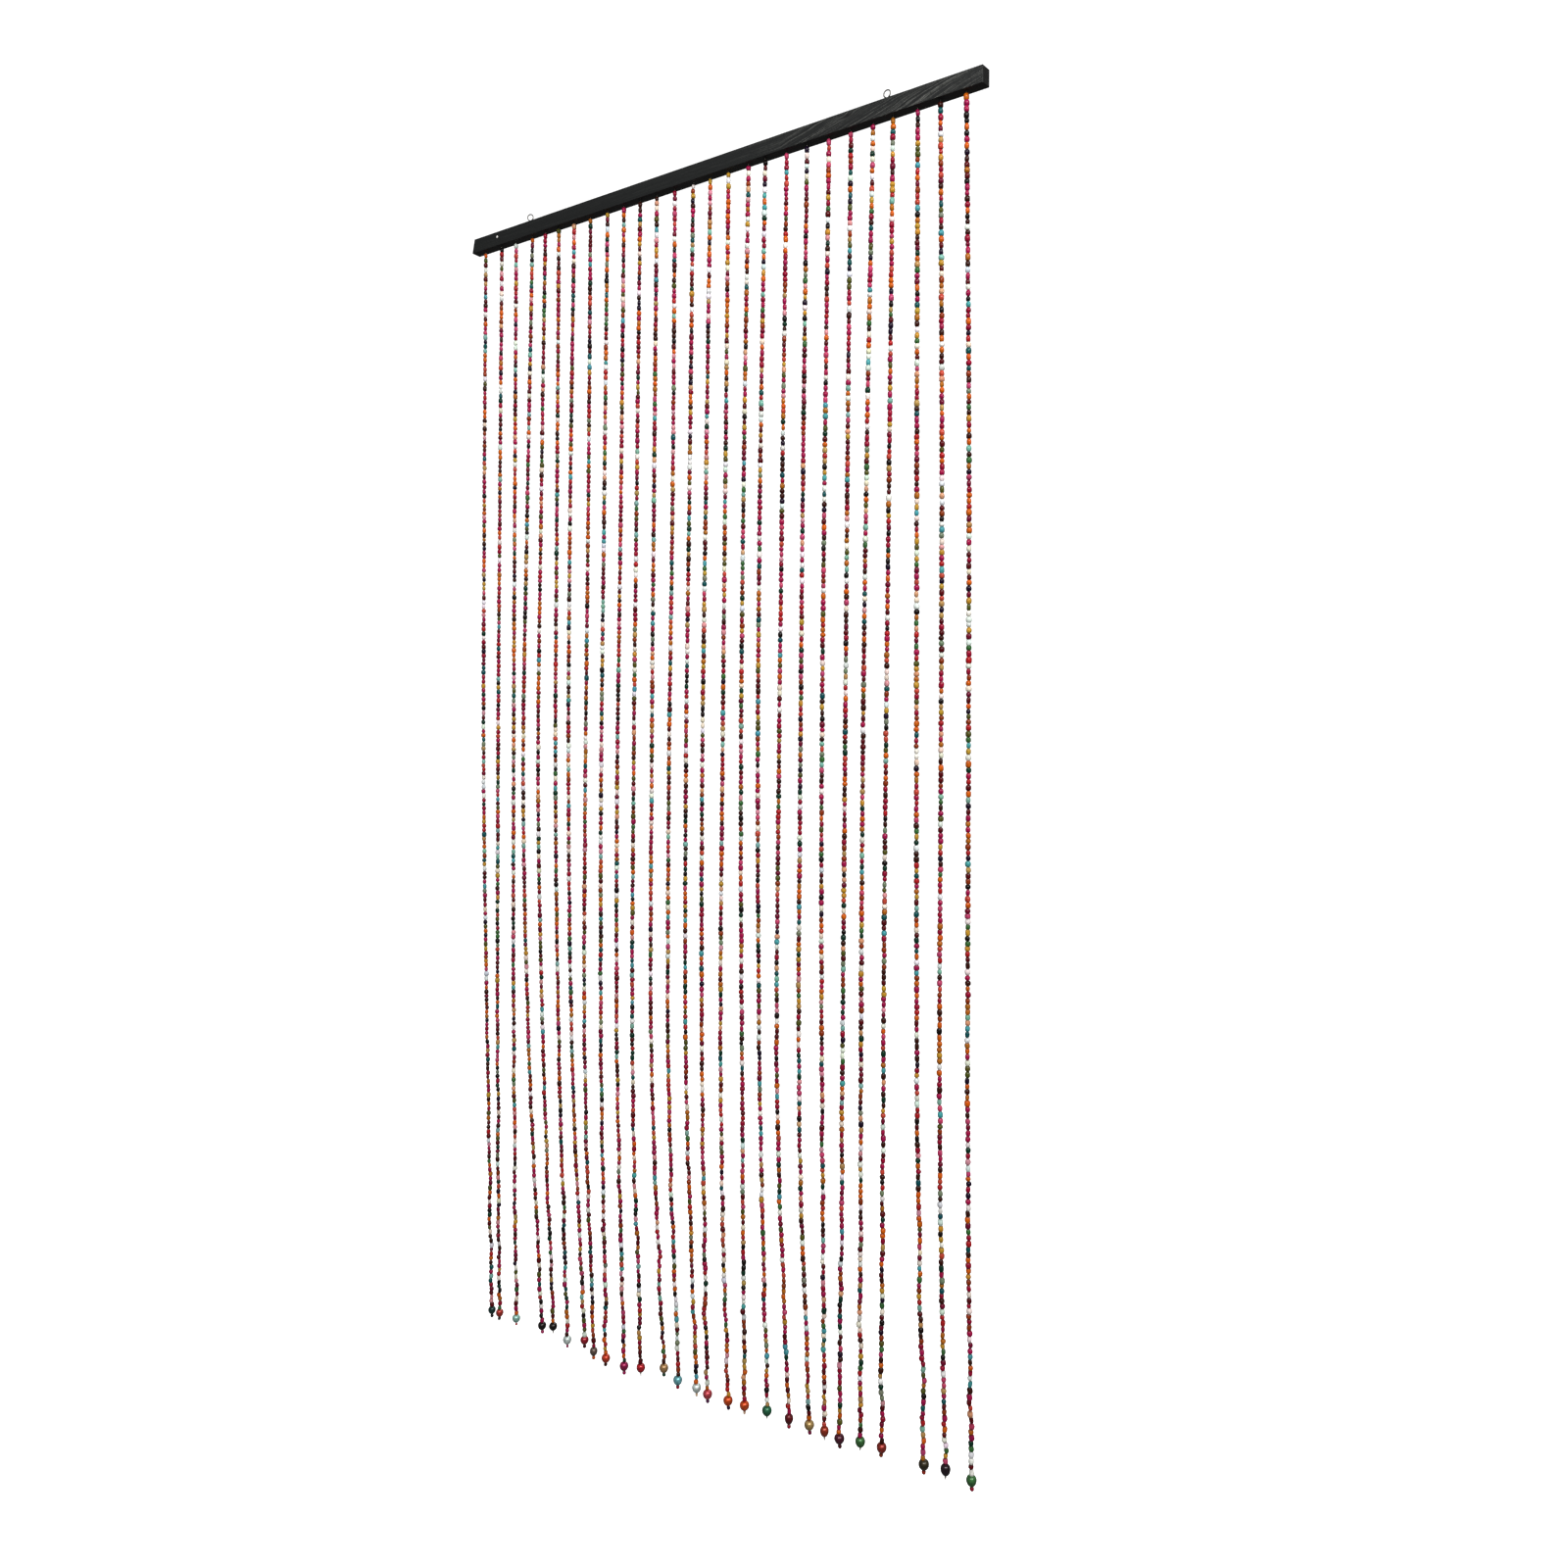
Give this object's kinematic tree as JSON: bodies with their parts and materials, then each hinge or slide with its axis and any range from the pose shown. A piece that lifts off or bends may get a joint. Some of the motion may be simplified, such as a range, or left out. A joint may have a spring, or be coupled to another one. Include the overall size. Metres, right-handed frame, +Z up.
{
  "type": "bead curtain on a wooden bar",
  "caption": "Door curtain of small painted wooden beads strung on threads, hanging from a black-stained wooden bar with two eye screws for hanging it.",
  "frame": {"origin": "midway between the centres of the two eye rings that the curtain hangs from", "axes": "+Z up, X along the bar, and the front of the bar faces -Y"},
  "size_m": [1.005, 0.0191, 2.0156],
  "materials": {
    "stained_wood": "satin",
    "steel": "bright",
    "pale_nail": "bright",
    "mixed_beads": "gloss",
    "petrol": "gloss",
    "coral": "gloss",
    "mint": "gloss",
    "black": "gloss",
    "pale_mint": "gloss",
    "crimson": "gloss",
    "grey_brown": "gloss",
    "vermilion": "gloss",
    "raspberry": "gloss",
    "red": "gloss",
    "tan": "gloss",
    "turquoise": "gloss",
    "rose": "gloss",
    "orange": "gloss",
    "emerald": "gloss",
    "maroon": "gloss",
    "gold": "gloss",
    "rust": "gloss",
    "plum": "gloss",
    "green": "gloss",
    "brick": "gloss",
    "olive": "gloss",
    "aubergine": "gloss"
  },
  "bodies": {
    "root": {"bar": "stained_wood", "eye_left": "steel", "eye_right": "steel", "nail": "pale_nail", "strand_01": "mixed_beads", "strand_02": "mixed_beads", "strand_03": "mixed_beads", "strand_04": "mixed_beads", "strand_05": "mixed_beads", "strand_06": "mixed_beads", "strand_07": "mixed_beads", "strand_08": "mixed_beads", "strand_09": "mixed_beads", "strand_10": "mixed_beads", "strand_11": "mixed_beads", "strand_12": "mixed_beads", "strand_13": "mixed_beads", "strand_14": "mixed_beads", "strand_15": "mixed_beads", "strand_16": "mixed_beads", "strand_17": "mixed_beads", "strand_18": "mixed_beads", "strand_19": "mixed_beads", "strand_20": "mixed_beads", "strand_21": "mixed_beads", "strand_22": "mixed_beads", "strand_23": "mixed_beads", "strand_24": "mixed_beads", "strand_25": "mixed_beads", "strand_26": "mixed_beads", "strand_27": "mixed_beads", "end_bead_01": "petrol", "end_bead_02": "coral", "end_bead_03": "mint", "end_bead_04": "black", "end_bead_05": "black", "end_bead_06": "pale_mint", "end_bead_07": "crimson", "end_bead_08": "grey_brown", "end_bead_09": "vermilion", "end_bead_10": "raspberry", "end_bead_11": "red", "end_bead_12": "tan", "end_bead_13": "turquoise", "end_bead_14": "pale_mint", "end_bead_15": "rose", "end_bead_16": "orange", "end_bead_17": "orange", "end_bead_18": "emerald", "end_bead_19": "maroon", "end_bead_20": "gold", "end_bead_21": "rust", "end_bead_22": "plum", "end_bead_23": "green", "end_bead_24": "brick", "end_bead_25": "olive", "end_bead_26": "aubergine", "end_bead_27": "green"}
  },
  "joints": []
}
